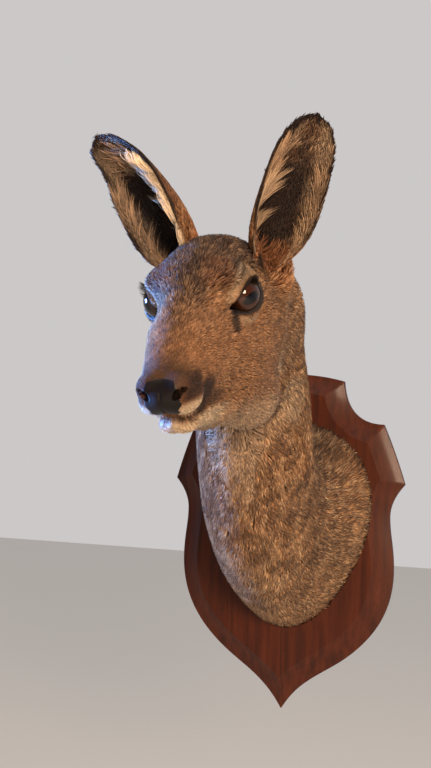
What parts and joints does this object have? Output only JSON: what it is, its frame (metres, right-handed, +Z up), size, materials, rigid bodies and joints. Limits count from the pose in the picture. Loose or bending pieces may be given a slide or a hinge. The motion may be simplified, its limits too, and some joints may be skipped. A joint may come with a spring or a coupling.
{
  "type": "roe deer shoulder mount",
  "caption": "Taxidermy head and neck of a roe deer doe, turned to its right and tilted down, on a shield-shaped wooden board with a coved edge and a hanger in its back.",
  "frame": {"origin": "centre of the board's flat back", "axes": "+Z up, the wall face points along +Y, the head stands out towards -Y, +X to the deer's left"},
  "size_m": [0.282, 0.4526, 0.542],
  "materials": {
    "varnished_wood": "red-brown stained hardwood under gloss varnish",
    "hanger_metal": "dull brass plate",
    "winter_coat": "grizzled grey-brown winter hair",
    "face_coat": "short tan-brown hair lying flat",
    "pale_coat": "short cream hair",
    "nose_skin": "black pebbled nose leather, lacquered",
    "ear_coat": "short brown hair outside, long pale hair inside",
    "eye_glass": "solid glass eye, dark brown iris, polished"
  },
  "bodies": {
    "root": {"shield_board": "varnished_wood", "hanger": "hanger_metal", "screw_upper": "hanger_metal", "screw_lower": "hanger_metal", "neck_lower": "winter_coat", "neck_upper": "winter_coat", "head": "face_coat", "muzzle": "face_coat", "lower_jaw": "pale_coat", "nose_pad": "nose_skin", "ear_left": "ear_coat", "ear_right": "ear_coat", "eye_left": "eye_glass", "eye_right": "eye_glass"}
  },
  "joints": []
}
